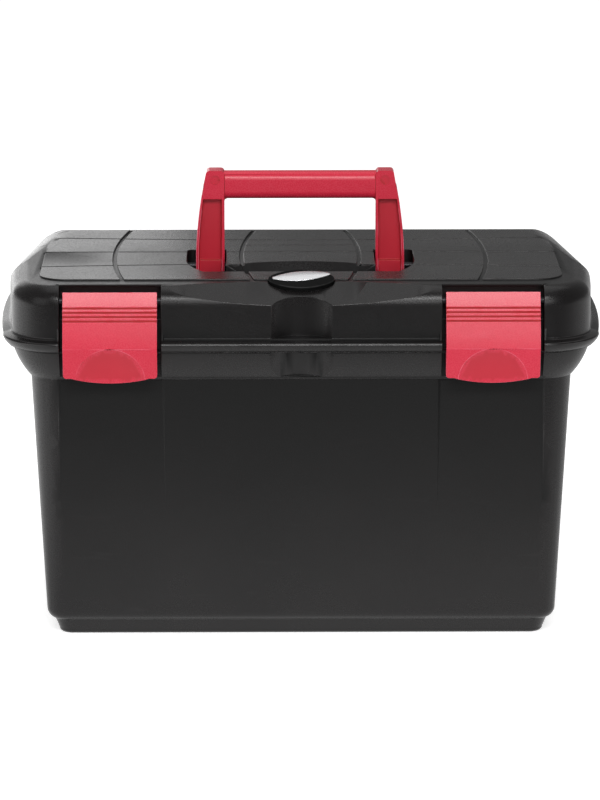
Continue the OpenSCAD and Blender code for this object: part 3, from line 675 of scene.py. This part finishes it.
class Grower:
    """Runs a geometry node tree on an empty mesh and keeps the result as a plain mesh."""

    def __init__(self, name: str, sizes: Dict[str, float]) -> None:
        """Makes an empty tree with named inputs.

        Args:
            name: The tree's name.
            sizes: Names and values of its inputs.
        """
        self.tree = bpy.data.node_groups.new(name, "GeometryNodeTree")
        self.sizes = sizes
        face = self.tree.interface
        face.new_socket(name="Geometry", in_out="OUTPUT", socket_type="NodeSocketGeometry")
        self.keys = {
            label: face.new_socket(name=label, in_out="INPUT", socket_type="NodeSocketFloat").identifier
            for label in sizes}
        finish = face.new_socket(name="Finish", in_out="INPUT", socket_type="NodeSocketMaterial")
        self.paint = finish.identifier
        self.nodes = Nodes(self.tree)
        self.given = self.nodes.add("NodeGroupInput").outputs
        self.out = self.nodes.add("NodeGroupOutput")

    def resample(self, curve: Socket, count: int) -> Socket:
        """Lays a number of even points along a curve."""
        node = self.nodes.add("GeometryNodeResampleCurve")
        node.inputs["Count"].default_value = count
        self.nodes.join(curve, node.inputs["Curve"])
        return node.outputs[0]

    def tube(self, curve: Socket, radius: Socket, sides: int, caps: bool = False) -> Socket:
        """Sweeps a ring along a curve.

        Args:
            curve: The curve to follow.
            radius: The ring's radius at each point.
            sides: Number of faces round the ring.
            caps: Whether the ends are closed.

        Returns:
            The tube's socket.
        """
        ring = self.nodes.add("GeometryNodeCurvePrimitiveCircle")
        ring.inputs["Resolution"].default_value = sides
        sweep = self.nodes.add("GeometryNodeCurveToMesh")
        sweep.inputs["Fill Caps"].default_value = caps
        self.nodes.join(curve, sweep.inputs["Curve"])
        self.nodes.join(ring.outputs[0], sweep.inputs["Profile Curve"])
        self.nodes.join(radius, sweep.inputs["Scale"])
        return sweep.outputs[0]

    def close(self, geometry: Socket) -> None:
        """Ends the tree: makes instances real and sets the finish."""
        real = self.nodes.add("GeometryNodeRealizeInstances")
        dress = self.nodes.add("GeometryNodeSetMaterial")
        self.nodes.join(geometry, real.inputs[0])
        self.nodes.join(real.outputs[0], dress.inputs["Geometry"])
        self.nodes.join(self.given["Finish"], dress.inputs["Material"])
        self.nodes.join(dress.outputs[0], self.out.inputs["Geometry"])

    def grow(self, name: str, material: bpy.types.Material) -> bpy.types.Mesh:
        """Evaluates the tree.

        Args:
            name: Name of the new mesh.
            material: Finish that the tree sets.

        Returns:
            The plain mesh.
        """
        seed = bpy.data.objects.new(name + "_seed", bpy.data.meshes.new(name + "_seed"))
        bpy.context.scene.collection.objects.link(seed)
        modifier = seed.modifiers.new("grow", "NODES")
        modifier.node_group = self.tree
        for label, value in self.sizes.items():
            modifier[self.keys[label]] = value
        modifier[self.paint] = material
        graph = bpy.context.evaluated_depsgraph_get()
        mesh = bpy.data.meshes.new_from_object(seed.evaluated_get(graph), depsgraph=graph)
        mesh.name = name
        seed.modifiers.remove(modifier)
        bpy.data.objects.remove(seed)
        return smooth(mesh)


@dataclass
class PinPair:
    """Two straight pivot pins, one on each side of the box.

    Attributes:
        name: Name of the piece.
        left: Solid of the left pin.
        right: Solid of the right pin.
        body: Body that carries the pins.
        chamfer: Size of the chamfer at each end, in metres.
        steps: Number of points along a pin.
        sides: Number of faces round a pin.
    """

    name: str
    left: str
    right: str
    body: Body
    chamfer: float = 0.5 * MM
    steps: int = 160
    sides: int = 28

    def build(self, material: bpy.types.Material) -> bpy.types.Object:
        """Builds both pins from one tree.

        Args:
            material: Their finish.

        Returns:
            The finished object.
        """
        low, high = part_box(self.right)
        middle = (low + high) / 2
        grower = Grower(self.name, {
            "Length": high.x - low.x, "Radius": (high.y - low.y) / 2, "Chamfer": self.chamfer,
            "Side": middle.x, "Depth": middle.y, "Height": middle.z})
        nodes, given = grower.nodes, grower.given
        line = nodes.add("GeometryNodeCurvePrimitiveLine")
        for end, share in (("Start", -0.5), ("End", 0.5)):
            nodes.join(nodes.point(nodes.math("MULTIPLY", given["Length"], share)), line.inputs[end])
        along = nodes.add("GeometryNodeSplineParameter").outputs["Length"]
        to_end = nodes.math("MINIMUM", along, nodes.math("SUBTRACT", given["Length"], along))
        cut = nodes.math("MAXIMUM", nodes.math("SUBTRACT", given["Chamfer"], to_end), 0.0)
        radius = nodes.math("SUBTRACT", given["Radius"], cut)
        pin = grower.tube(grower.resample(line.outputs[0], self.steps), radius, self.sides, caps=True)
        both = nodes.add("GeometryNodeJoinGeometry")
        for side in (-1.0, 1.0):
            spot = nodes.point(nodes.math("MULTIPLY", given["Side"], side), given["Depth"], given["Height"])
            moved = nodes.add("GeometryNodeTransform")
            nodes.join(pin, moved.inputs["Geometry"])
            nodes.join(spot, moved.inputs["Translation"])
            nodes.join(moved.outputs[0], both.inputs[0])
        grower.close(both.outputs[0])
        piece = place(grower.grow(self.name, material), self.name, material, self.body)
        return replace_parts(piece, self.left, self.right)


@dataclass
class BadgePlate:
    """Bare domed oval plate on the pad, laid where its solid lies.

    Attributes:
        name: Name of the piece.
        node: Solid that it stands for.
        dome: Rise of the dome's middle above its edge, in metres.
        thick: Thickness at the plate's edge.
        edge: Width of the rounding along that edge.
        rings: Number of rings of faces on the dome.
        around: Number of faces round the oval.
        width: Length of the oval, read from the solid.
        height: Breadth of the oval, read from the solid.
        where: Place and turn of the oval, read from the solid.
    """

    name: str = "badge_plate_dome"
    node: str = "badge_plate"
    dome: float = 0.35 * MM
    thick: float = 0.5 * MM
    edge: float = 0.35 * MM
    rings: int = 14
    around: int = 96
    width: float = field(init=False)
    height: float = field(init=False)
    where: Matrix = field(init=False)

    def __post_init__(self) -> None:
        """Reads the oval's size, place and turn from the solid's upper face."""
        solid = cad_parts[self.node].data
        up = max(solid.polygons, key=lambda face: face.normal.z).normal.copy()
        points = [v.co.copy() for v in solid.vertices]
        low = min(points, key=lambda p: p.dot(up)).dot(up)
        flat = [p - up * (p.dot(up) - low) for p in points]
        pairs = ((p, q) for p in flat for q in flat if q.x >= p.x)
        left, right = max(pairs, key=lambda pair: (pair[0] - pair[1]).length)
        along = (right - left).normalized()
        across = up.cross(along)
        spread = [p.dot(across) for p in flat]
        self.width = (right - left).length
        self.height = max(spread) - min(spread)
        turn = Matrix((along, across, up)).transposed().to_4x4()
        self.where = Matrix.Translation((left + right) / 2) @ turn

    def outline(self) -> List[Vector]:
        """Points of an oval drawn from four arcs, counter-clockwise."""
        w, h = self.width, self.height
        end_r = h * h / w / 2
        reach = w / 2 - end_r
        side_r = (reach * reach + h * h / 4 - end_r * end_r) / (h - 2 * end_r)
        touch = math.atan2(side_r - h / 2, reach)
        points = []
        for i in range(self.around):
            angle = 2 * math.pi * i / self.around
            c, s = math.cos(angle), math.sin(angle)
            if abs(s) < math.sin(touch):
                centre, r = Vector((math.copysign(reach, c), 0.0, 0.0)), end_r
            else:
                centre, r = Vector((0.0, -math.copysign(side_r - h / 2, s), 0.0)), side_r
            points.append(centre + Vector((c, s, 0.0)) * r)
        return points

    def mesh(self) -> bpy.types.Mesh:
        """Domed plate with a rounded edge, closed underneath."""
        shape = bmesh.new()
        outline = self.outline()
        middle = sum(outline, Vector()) / len(outline)
        inner = 1.0 - self.edge / self.height
        levels = [(inner, 0.0), (1.0, self.edge / 2), (1.0, self.thick - self.edge / 2)]
        for k in range(self.rings):
            share = inner * (1.0 - k / self.rings)
            levels.append((share, self.thick + self.dome * (1.0 - share * share)))
        loops = [
            [shape.verts.new(middle + (p - middle) * share + Vector((0, 0, z))) for p in outline]
            for share, z in levels]
        for low, high in zip(loops, loops[1:]):
            for i, vert in enumerate(low):
                j = (i + 1) % len(low)
                shape.faces.new((vert, low[j], high[j], high[i]))
        top = shape.verts.new(middle + Vector((0, 0, self.thick + self.dome)))
        for i, vert in enumerate(loops[-1]):
            shape.faces.new((vert, loops[-1][(i + 1) % len(outline)], top))
        shape.faces.new(list(reversed(loops[0])))
        shape.transform(self.where)
        bmesh.ops.recalc_face_normals(shape, faces=shape.faces)
        mesh = bpy.data.meshes.new(self.name)
        shape.to_mesh(mesh)
        shape.free()
        return smooth(mesh)

    def build(self, material: bpy.types.Material) -> bpy.types.Object:
        """Builds the plate and sets it on the lid."""
        piece = place(self.mesh(), self.name, material, Body.LID)
        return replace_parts(piece, self.node)


@dataclass
class RimFlash:
    """Thin, uneven bead of moulding flash along the lid's lower edge.

    Attributes:
        name: Name of the piece.
        line: Height of the line where the lid meets the tub, in metres.
        depth: Depth over the rim, front to back.
        corner: Radius of the rim's corners.
        bow: Outward bow of the rim's ends.
        bow_half: Half the length of that bow.
        roll: Distance of the bead behind the rim's outline.
        lift: Height of the bead over the rim's underside.
        bead: Radius of the bead.
        uneven: Least and greatest share of that radius.
        wander: How far the bead strays.
        stray_scale: Scale of its straying.
        stray_detail: Number of finer layers of its straying.
        stray_reach: Values of the noise between which the bead thickens.
        seed: Seed of its straying.
        corner_steps: Number of points round a corner.
        steps: Number of points along the bead.
        sides: Number of faces round the bead.
    """

    name: str = "rim_flash"
    line: float = 201.0 * MM
    depth: float = 250.0 * MM
    corner: float = 40.0 * MM
    bow: float = 4.4 * MM
    bow_half: float = 79.9 * MM
    roll: float = 3.9 * MM
    lift: float = 0.25 * MM
    bead: float = 0.28 * MM
    uneven: Span = (0.45, 1.15)
    wander: float = 0.25 * MM
    stray_scale: float = 320.0
    stray_detail: float = 3.0
    stray_reach: Span = (0.35, 0.65)
    seed: float = 5.0
    corner_steps: int = 24
    steps: int = 1500
    sides: int = 6

    def build(self, material: bpy.types.Material) -> bpy.types.Object:
        """Grows the bead along the rim.

        Args:
            material: Its finish.

        Returns:
            The finished object.
        """
        low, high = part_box("lid")
        grower = Grower(self.name, {
            "Width": high.x - low.x - 2 * (self.bow + self.roll), "Depth": self.depth - 2 * self.roll,
            "Corner": self.corner - self.roll, "Bow": self.bow, "Bow half": self.bow_half,
            "Height": self.line + self.lift, "Bead": self.bead, "Wander": self.wander, "Seed": self.seed})
        nodes, given = grower.nodes, grower.given
        oblong = nodes.add("GeometryNodeCurvePrimitiveQuadrilateral")
        nodes.join(given["Width"], oblong.inputs["Width"])
        nodes.join(given["Depth"], oblong.inputs["Height"])
        bend = nodes.add("GeometryNodeFilletCurve", mode="POLY")
        bend.inputs["Count"].default_value = self.corner_steps
        nodes.join(oblong.outputs[0], bend.inputs["Curve"])
        nodes.join(given["Corner"], bend.inputs["Radius"])
        where = nodes.add("GeometryNodeInputPosition").outputs[0]
        noise = nodes.noise(where, self.stray_scale, self.stray_detail, seed=given["Seed"])
        stray = nodes.math("MULTIPLY", nodes.math("SUBTRACT", noise, 0.5), given["Wander"])
        spot = nodes.axes(where)
        share = nodes.math("DIVIDE", spot["Y"], given["Bow half"])
        rise = nodes.math("MAXIMUM", nodes.math("SUBTRACT", 1.0, nodes.math("MULTIPLY", share, share)), 0.0)
        side = nodes.math("MULTIPLY", nodes.math("SIGN", spot["X"]), given["Bow"])
        laid = nodes.add("GeometryNodeSetPosition")
        nodes.join(grower.resample(bend.outputs[0], self.steps), laid.inputs["Geometry"])
        height = nodes.math("ADD", given["Height"], stray)
        offset = nodes.point(x=nodes.math("MULTIPLY", rise, side), z=height)
        nodes.join(offset, laid.inputs["Offset"])
        radius = nodes.math("MULTIPLY", nodes.spread(noise, self.stray_reach, self.uneven), given["Bead"])
        grower.close(grower.tube(laid.outputs[0], radius, self.sides))
        return place(grower.grow(self.name, material), self.name, material, Body.LID)


@dataclass(frozen=True)
class Softbox:
    """An oblong soft lamp.

    Attributes:
        name: Its name.
        at: Its place, in metres.
        to: The point that it faces.
        size: Its width and height.
        power: Its power, in watts.
    """

    name: str
    at: Tuple[float, float, float]
    to: Tuple[float, float, float]
    size: Tuple[float, float]
    power: float

    def build(self, scene: bpy.types.Scene) -> None:
        """Adds the lamp, unseen by the camera."""
        data = bpy.data.lights.new(self.name, "AREA")
        data.shape = "RECTANGLE"
        data.size, data.size_y = self.size
        data.energy = self.power
        lamp = bpy.data.objects.new(self.name, data)
        lamp.location = self.at
        lamp.rotation_euler = (Vector(self.to) - Vector(self.at)).to_track_quat("-Z", "Y").to_euler()
        lamp.visible_camera = False
        scene.collection.objects.link(lamp)


LAMPS = (
    Softbox("top_softbox", at=(0.1, 0.3, 1.8), to=(0.0, 0.0, 0.2), size=(1.6, 1.6), power=6.0),
    Softbox("key_softbox", at=(0.05, -1.8, 1.5), to=(0.02, -0.1, 0.24), size=(1.3, 0.5), power=21.0),
    Softbox("fill_softbox", at=(-1.7, -1.4, 0.8), to=(0.0, -0.1, 0.2), size=(1.2, 1.2), power=4.0),
    Softbox("back_softbox", at=(-0.49, 1.2, 0.48), to=(-0.1, 0.0, 0.24), size=(0.8, 0.8), power=2.4),
    Softbox("front_softbox", at=(0.5, -2.3, 0.85), to=(0.0, -0.1, 0.22), size=(1.4, 0.6), power=8.5))


@dataclass
class Studio:
    """Camera, soft lamps, white surroundings and a pale floor.

    Each pair of places goes with a pair of strengths at them.

    Attributes:
        eye: Place of the camera, in metres.
        aim: Point that it looks at.
        lens: Focal length, in millimetres.
        sensor: Width of the camera's sensor, in millimetres.
        view_end: Greatest distance that the camera sees.
        room_light: Strength of the surroundings as light.
        room_y: Directions, front to back, between which the surroundings brighten in gloss.
        room_y_gloss: Their strength in gloss.
        room_x: Directions, left to right, between which they fade in gloss.
        room_x_gloss: Their share left in gloss.
        floor_half: Half the floor's side.
        floor_tone: The floor's grey.
        floor_glow: Strength that lifts the floor to white for the camera.
        sheet_y: Depths between which the white sheet on the floor fades in, from the camera's side.
        sheet_y_gloss: Its strength there.
        sheet_left: Places between which it gets plainer from the left.
        sheet_left_gloss: Its gain there.
        sheet_right: Places between which it fades a little to the right.
        sheet_right_gloss: Its share left there.
    """

    eye: Vector = field(default_factory=lambda: Vector((-0.0251, -2.8, 0.7955)))
    aim: Vector = field(default_factory=lambda: Vector((0.0, 0.0, 0.1408)))
    lens: float = 187.65
    sensor: float = 36.0
    view_end: float = 50.0
    room_light: float = 0.45
    room_y: Span = (-0.3, 0.7)
    room_y_gloss: Span = (0.08, 0.28)
    room_x: Span = (-0.2, 0.6)
    room_x_gloss: Span = (1.0, 0.6)
    floor_half: float = 30.0
    floor_tone: float = 0.86
    floor_glow: float = 0.62
    sheet_y: Span = (-0.95, -0.2)
    sheet_y_gloss: Span = (0.04, 1.0)
    sheet_left: Span = (-0.6, -0.22)
    sheet_left_gloss: Span = (1.6, 1.0)
    sheet_right: Span = (0.1, 0.8)
    sheet_right_gloss: Span = (1.0, 0.75)

    def build(self) -> None:
        """Builds camera, lamps, world and floor."""
        scene = bpy.context.scene
        scene.view_settings.view_transform = "Standard"
        data = bpy.data.cameras.new("camera")
        data.lens = self.lens
        data.sensor_width = self.sensor
        data.clip_end = self.view_end
        camera = bpy.data.objects.new("camera", data)
        camera.location = self.eye
        camera.rotation_euler = (self.aim - self.eye).to_track_quat("-Z", "Y").to_euler()
        scene.collection.objects.link(camera)
        scene.camera = camera
        self._world(scene)
        self._floor(scene)
        for lamp in LAMPS:
            lamp.build(scene)
        log.info("studio: camera, %d lamps, floor", len(LAMPS))

    @staticmethod
    def _shiny(nodes: Nodes, path: bpy.types.NodeOutputs) -> Socket:
        """Rays that come by way of gloss or glass."""
        return nodes.math("MAXIMUM", path["Is Glossy Ray"], path["Is Transmission Ray"])

    def _world(self, scene: bpy.types.Scene) -> None:
        """White surroundings that light the box moderately and show in gloss most from behind on the left.

        Args:
            scene: The scene that gets them.
        """
        world = bpy.data.worlds.new("white_room")
        scene.world = world
        world.use_nodes = True
        nodes = Nodes(world.node_tree)
        back = world.node_tree.nodes["Background"].inputs
        back["Color"].default_value = (1.0, 1.0, 1.0, 1.0)
        path = nodes.add("ShaderNodeLightPath").outputs
        way = nodes.axes(nodes.add("ShaderNodeTexCoord").outputs["Generated"])
        behind = nodes.spread(way["Y"], self.room_y, self.room_y_gloss)
        room = nodes.math("MULTIPLY", behind, nodes.spread(way["X"], self.room_x, self.room_x_gloss))
        change = nodes.math("SUBTRACT", room, self.room_light)
        shown = nodes.math("MULTIPLY", self._shiny(nodes, path), change)
        seen = nodes.math("MULTIPLY_ADD", path["Is Camera Ray"], 1.0 - self.room_light, self.room_light)
        nodes.join(nodes.math("ADD", seen, shown), back["Strength"])

    def _floor(self, scene: bpy.types.Scene) -> None:
        """Pale floor that keeps the box's shadow, with a white sheet in gloss that ends before the camera.

        Args:
            scene: The scene that gets it.
        """
        mesh = bpy.data.meshes.new("floor")
        shape = bmesh.new()
        bmesh.ops.create_grid(shape, x_segments=2, y_segments=2, size=self.floor_half)
        shape.to_mesh(mesh)
        shape.free()
        floor = bpy.data.objects.new("floor", mesh)
        scene.collection.objects.link(floor)
        paint = bpy.data.materials.new("pale_floor")
        paint.use_nodes = True
        nodes = Nodes(paint.node_tree)
        out = paint.node_tree.nodes["Material Output"]
        paint.node_tree.nodes.remove(paint.node_tree.nodes["Principled BSDF"])
        path = nodes.add("ShaderNodeLightPath").outputs
        matte = nodes.add("ShaderNodeBsdfDiffuse")
        matte.inputs["Color"].default_value = (self.floor_tone, self.floor_tone, self.floor_tone, 1.0)
        glow = nodes.add("ShaderNodeEmission")
        nodes.join(nodes.math("MULTIPLY", path["Is Camera Ray"], self.floor_glow), glow.inputs["Strength"])
        plain = nodes.add("ShaderNodeAddShader")
        nodes.join(matte.outputs[0], plain.inputs[0])
        nodes.join(glow.outputs[0], plain.inputs[1])
        spot = nodes.axes(nodes.where())
        near = nodes.spread(spot["Y"], self.sheet_y, self.sheet_y_gloss)
        left = nodes.spread(spot["X"], self.sheet_left, self.sheet_left_gloss)
        right = nodes.spread(spot["X"], self.sheet_right, self.sheet_right_gloss)
        strength = nodes.math("MULTIPLY", near, nodes.math("MULTIPLY", left, right))
        sheet = nodes.add("ShaderNodeEmission")
        nodes.join(strength, sheet.inputs["Strength"])
        choose = nodes.add("ShaderNodeMixShader")
        nodes.join(self._shiny(nodes, path), choose.inputs[0])
        nodes.join(plain.outputs[0], choose.inputs[1])
        nodes.join(sheet.outputs[0], choose.inputs[2])
        nodes.join(choose.outputs[0], out.inputs["Surface"])
        mesh.materials.append(paint)


def main() -> None:
    """Builds the studio and every piece of the box."""
    logging.basicConfig(level=logging.INFO, format="%(name)s %(message)s")
    Studio().build()
    effects = SurfaceEffects()
    black, red, grey, pad, silver, steel = (
        finish.build(effects)
        for finish in (BODY_BLACK, GRIP_RED, TRAY_GREY, PAD_BLACK, PLATE_SILVER, PIN_STEEL))
    Shell("tub_shell", "tub", Body.BASE, Slot.BLACK, width=0.35 * MM, crease=12.0).build(black)
    Shell("lid_shell", "lid", Body.LID, Slot.BLACK, width=0.35 * MM).build(black)
    Shell("handle_bow", "carry_handle", Body.HANDLE, Slot.RED,
          width=0.55 * MM, segments=3, least=0.5 * MM).build(red)
    for side, body in (("left", Body.LATCH_LEFT), ("right", Body.LATCH_RIGHT)):
        Shell("flap_" + side, "latch_" + side, body, Slot.RED,
              width=0.16 * MM, sharp=20.0, crease=7.0).build(red)
    Shell("tray_insert", "tray", Body.TRAY, Slot.GREY, width=0.4 * MM).build(grey)
    Shell("tray_hand_plate", "tray_grip", Body.TRAY, Slot.GREY, width=0.7 * MM, segments=3).build(grey)
    Shell("badge_pad", "badge_base", Body.LID, Slot.BADGE_BLACK, width=0.7 * MM, segments=4).build(pad)
    BadgePlate().build(silver)
    RimFlash().build(black)
    for kind, body in (("hinge", Body.BASE), ("latch", Body.LID), ("handle", Body.LID)):
        PinPair(kind + "_pins", kind + "_pin_left", kind + "_pin_right", body).build(steel)


if __name__ == "__main__":
    main()
